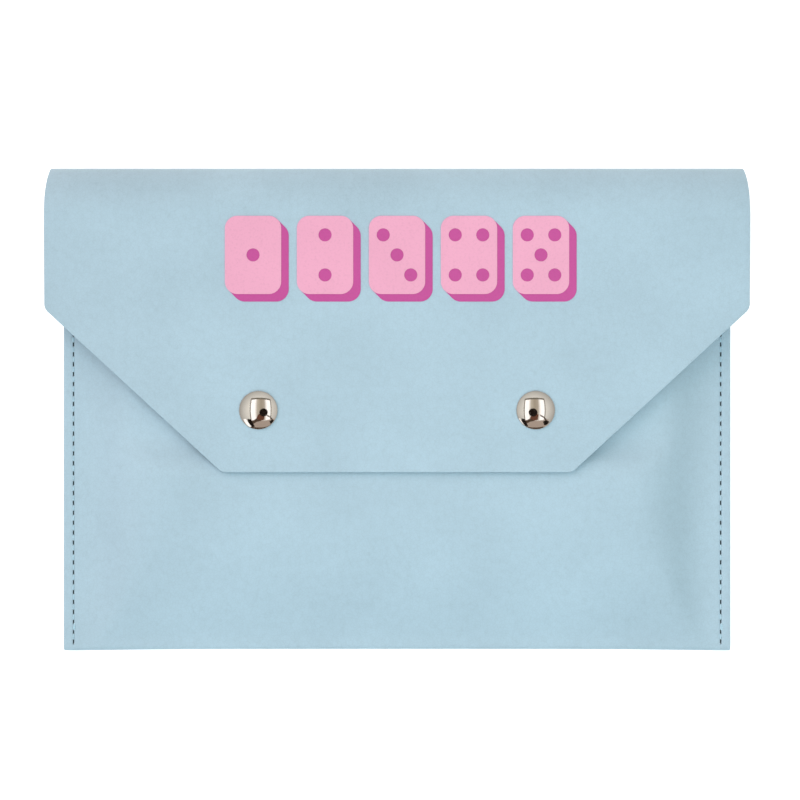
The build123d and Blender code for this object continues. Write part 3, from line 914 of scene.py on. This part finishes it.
slope = math.degrees(math.asin((CAP_RADIUS - CAP_RIM) / (CAP_DOME - CAP_RIM)))
rim_level = FLAP_TOP + CAP_SKIRT
rim_center = (CAP_RADIUS - CAP_RIM, rim_level)
cosine = math.cos(math.radians(slope))
dome_top = rim_level + CAP_RIM * cosine + CAP_DOME * (1 - cosine)
dome_center = (0.0, dome_top - CAP_DOME)
cap_profile = (
    # Dome, rim and skirt outside
    arc_points(dome_center, CAP_DOME, 0, slope, 22)
    + arc_points(rim_center, CAP_RIM, slope, 90, 22)[1:]
    + [(CAP_RADIUS, FLAP_TOP + SKIRT_ROUND)]
    + [(CAP_RADIUS - SKIRT_BEVEL, FLAP_TOP + SKIRT_BEVEL)]
    + [(CAP_RADIUS - SKIRT_ROUND, FLAP_TOP)]
    # Rivet, with its foot rolled outwards
    + [(RIVET_RADIUS, FLAP_TOP), (RIVET_RADIUS, RIVET_FOOT), (ROLLED_RADIUS - ROLLED_ROUND, RIVET_FOOT)]
    + [(ROLLED_RADIUS, RIVET_FOOT - ROLLED_ROUND), (ROLLED_RADIUS, RIVET_FOOT - ROLLED_SIDE)]
    + [(ROLLED_RADIUS - ROLLED_ROUND, RIVET_FOOT - ROLLED_WALL)]
    + [(RIVET_BORE + ROLLED_ROUND, RIVET_FOOT - ROLLED_WALL)]
    + [(RIVET_BORE, RIVET_FOOT - ROLLED_WALL + ROLLED_ROUND)]
    # Bore, and the dome's inside
    + [(RIVET_BORE, FLAP_TOP + CAP_WALL), (CAP_RADIUS - CAP_WALL, FLAP_TOP + CAP_WALL)]
    + arc_points(rim_center, CAP_RIM - CAP_WALL, 88, slope, 8)
    + arc_points(dome_center, CAP_DOME - CAP_WALL, slope, 0, 8)[1:]
)
for side, snap in zip(("left", "right"), SNAPS):
    cap = lathe(f"cap_dome_{side}", cap_profile, snap, nickel)
    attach(cap, "flap")
    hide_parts(f"snap_cap_{side}")


# Finishes of the other nodes
finishes = {
    "snap_socket": nickel, "snap_stud": nickel, "stud_post": nickel, "socket_spring": spring_steel,
    "print_shadow": magenta_film, "print_face": pink_film,
}
for name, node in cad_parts.items():
    for start, material in finishes.items():
        if name.startswith(start):
            if not node.material_slots:
                node.data.materials.append(material)
            node.material_slots[0].material = material


# Stage, light and camera, all in metres
FLOOR_Z = -0.0004
WIDE_LAMP = (1.4, 1.4)
SMALL_LAMP = (0.2, 0.2)
BOX_LEFT, BOX_RIGHT, BOX_LOW, BOX_HIGH = -0.60, 0.70, -0.68, 0.72
BOX_Z = 1.2
DESK_Z = 1.15
FIGURE_Z = 1.1
WHITE_Z = 1.0
PATCH_Z = 0.98
NEAR_Z = 0.30
FRAME = 0.07
BOX_GLOW = 1.4
CAMERA_PLACE = (0.00095, 0.0033, 0.6134)


def rectangle(left, right, low, high):
    return ((left, low), (right, low), (right, high), (left, high))


def ellipse(center, reach, step):
    angles = [math.radians(a) for a in range(0, 360, step)]
    return [(center[0] + reach[0] * math.cos(a), center[1] + reach[1] * math.sin(a)) for a in angles]


def stage_card(name, height, corners, material):
    """A level floor or card, given by its corners."""
    mesh = bpy.data.meshes.new(name)
    mesh.from_pydata([(x, y, height) for x, y in corners], [], [tuple(range(len(corners)))])
    mesh.materials.append(material)
    card = bpy.data.objects.new(name, mesh)
    bpy.context.scene.collection.objects.link(card)
    return card


def mirror_card(name, height, corners, material):
    """A card that shows only in the metal."""
    card = stage_card(name, height, corners, material)
    card.visible_camera = False
    card.visible_diffuse = False
    card.visible_shadow = False


def mirror_paint(name, color):
    """Even glow of a shape that the metal mirrors."""
    material, tree, shader = new_material(name)
    set_inputs(tree, shader, {
        "Base Color": (0.0, 0.0, 0.0, 1.0),
        "Specular IOR Level": 0.0,
        "Emission Color": (*color, 1.0),
        "Emission Strength": 1.0,
    })
    return material


def soft_box_paint():
    """Glow of an overhead soft box: white bands at its sides and a dim warm middle."""
    material = mirror_paint("soft_box_paint", grey(1.0))
    tree = material.node_tree
    across = add(tree, "ShaderNodeSeparateXYZ", {"Vector": coordinates(tree, "Generated")}).outputs["X"]
    glow = ramp(tree, across, (
        (0.0, grey(1.0)), (0.21, grey(1.0)), (0.32, (0.44, 0.41, 0.35)), (0.50, (0.31, 0.275, 0.217)),
        (0.66, (0.37, 0.335, 0.28)), (0.79, grey(1.0)), (1.0, grey(1.0)),
    ))
    set_inputs(tree, tree.nodes["Principled BSDF"], {"Emission Color": glow, "Emission Strength": BOX_GLOW})
    return material


def area_light(name, place, target, size, power, color):
    """A soft lamp that doesn't show in the metal."""
    data = bpy.data.lights.new(name, "AREA")
    data.shape = "RECTANGLE"
    data.size, data.size_y = size
    data.energy = power
    data.color = color
    light = bpy.data.objects.new(name, data)
    light.location = place
    light.rotation_euler = (Vector(place) - Vector(target)).to_track_quat("Z", "Y").to_euler()
    light.visible_glossy = False
    bpy.context.scene.collection.objects.link(light)


floor_paint, floor_tree, floor_shader = new_material("floor_paint")
set_inputs(floor_tree, floor_shader, {
    "Base Color": (0.93, 0.93, 0.93, 1.0),
    "Roughness": 0.9,
    "Specular IOR Level": 0.1,
    "Emission Color": (1.0, 1.0, 1.0, 1.0),
    "Emission Strength": 0.45,
})
stage_card("floor", FLOOR_Z, rectangle(-3, 3, -3, 3), floor_paint)

area_light("upper_left", (-0.95, 0.9, 1.1), (0, 0, 0), WIDE_LAMP, 11.85, (1.0, 0.72, 0.72))
area_light("lower_left", (-0.95, -0.9, 1.1), (0, 0, 0), WIDE_LAMP, 4.19, (0.74, 0.85, 1.0))
area_light("middle_fill", (0.10, -0.01, 0.45), (0.10, -0.01, 0), SMALL_LAMP, 0.46, (0.80, 0.96, 1.0))
area_light("low_fill", (0.0, -0.30, 0.45), (0, 0, 0), SMALL_LAMP, 0.455, (0.70, 0.90, 1.0))

# What the domed caps mirror: a framed soft box, a desk, and a dark figure that holds a camera
box_paint = soft_box_paint()
black_paint = mirror_paint("black_paint", (0.012, 0.008, 0.006))
figure_paint = mirror_paint("figure_paint", (0.15, 0.062, 0.038))
sleeve_paint = mirror_paint("sleeve_paint", (0.09, 0.06, 0.042))
frame_paint = mirror_paint("frame_paint", (0.20, 0.185, 0.155))
desk_paint = mirror_paint("desk_paint", (0.46, 0.385, 0.33))
white_paint = mirror_paint("white_paint", (1.4, 1.4, 1.4))
mirror_card("box_card", BOX_Z, rectangle(BOX_LEFT, BOX_RIGHT, BOX_LOW, BOX_HIGH), box_paint)
mirror_card("frame_left", BOX_Z, rectangle(BOX_LEFT - FRAME, BOX_LEFT, BOX_LOW, BOX_HIGH), frame_paint)
mirror_card("frame_right", BOX_Z, rectangle(BOX_RIGHT, BOX_RIGHT + FRAME, BOX_LOW, BOX_HIGH), frame_paint)
mirror_card(
    "frame_top", BOX_Z, rectangle(BOX_LEFT - FRAME, BOX_RIGHT + FRAME, BOX_HIGH, BOX_HIGH + 2 * FRAME), frame_paint
)
mirror_card("desk_card", DESK_Z, rectangle(-0.85, 1.15, -1.55, BOX_LOW), desk_paint)
mirror_card("body", FIGURE_Z, (
    (-0.12, -0.25), (0.07, -0.10), (0.27, -0.26), (0.23, -0.57), (0.06, -0.64), (-0.24, -0.50)
), figure_paint)
mirror_card("sleeve_left", FIGURE_Z, (
    (-0.24, -0.50), (0.06, -0.64), (-0.23, -0.74), (-0.60, -1.05), (-0.68, -0.82)
), sleeve_paint)
mirror_card("sleeve_right", FIGURE_Z, (
    (0.32, -0.24), (0.54, -0.34), (0.76, -0.52), (0.90, -0.66), (0.84, -0.77), (0.60, -0.47), (0.40, -0.36)
), sleeve_paint)
mirror_card("white_card", WHITE_Z, (
    (-1.25, -0.68), (-0.96, -0.58), (-0.80, -0.88), (-0.66, -1.25), (-0.90, -1.48), (-1.14, -1.15)
), white_paint)
mirror_card("patch_left", PATCH_Z, (
    (-0.79, -0.53), (-0.52, -0.51), (-0.37, -1.10), (-0.62, -1.30), (-0.81, -0.75)
), black_paint)
mirror_card("patch_right", PATCH_Z, (
    (0.55, -0.68), (0.79, -0.62), (1.15, -0.84), (1.08, -1.15), (0.75, -1.08)
), black_paint)
mirror_card("camera_card", NEAR_Z, ellipse((0.020, -0.036), (0.066, 0.062), 20), black_paint)
mirror_card("low_card", NEAR_Z, ((-0.24, -0.36), (0.24, -0.36), (1.0, -1.5), (-1.0, -1.5)), sleeve_paint)

# The room is brighter overhead than at the sides
world = bpy.data.worlds.new("studio")
world.use_nodes = True
sky = world.node_tree
up = add(sky, "ShaderNodeSeparateXYZ", {"Vector": coordinates(sky, "Generated")}).outputs["Z"]
walls = ramp(sky, up, (
    (0.50, (0.42, 0.42, 0.40)), (0.62, (0.58, 0.58, 0.55)),
    (0.75, (0.74, 0.74, 0.70)), (0.88, (0.92, 0.92, 0.86)),
))
set_inputs(sky, sky.nodes["Background"], {"Color": walls, "Strength": 1.0})
bpy.context.scene.world = world
bpy.context.scene.view_settings.view_transform = "Standard"

camera_data = bpy.data.cameras.new("camera")
camera_data.sensor_width = 36.0
camera_data.lens = 84.48
camera_data.clip_start = 0.01
camera = bpy.data.objects.new("camera", camera_data)
camera.location = CAMERA_PLACE
bpy.context.scene.collection.objects.link(camera)
bpy.context.scene.camera = camera
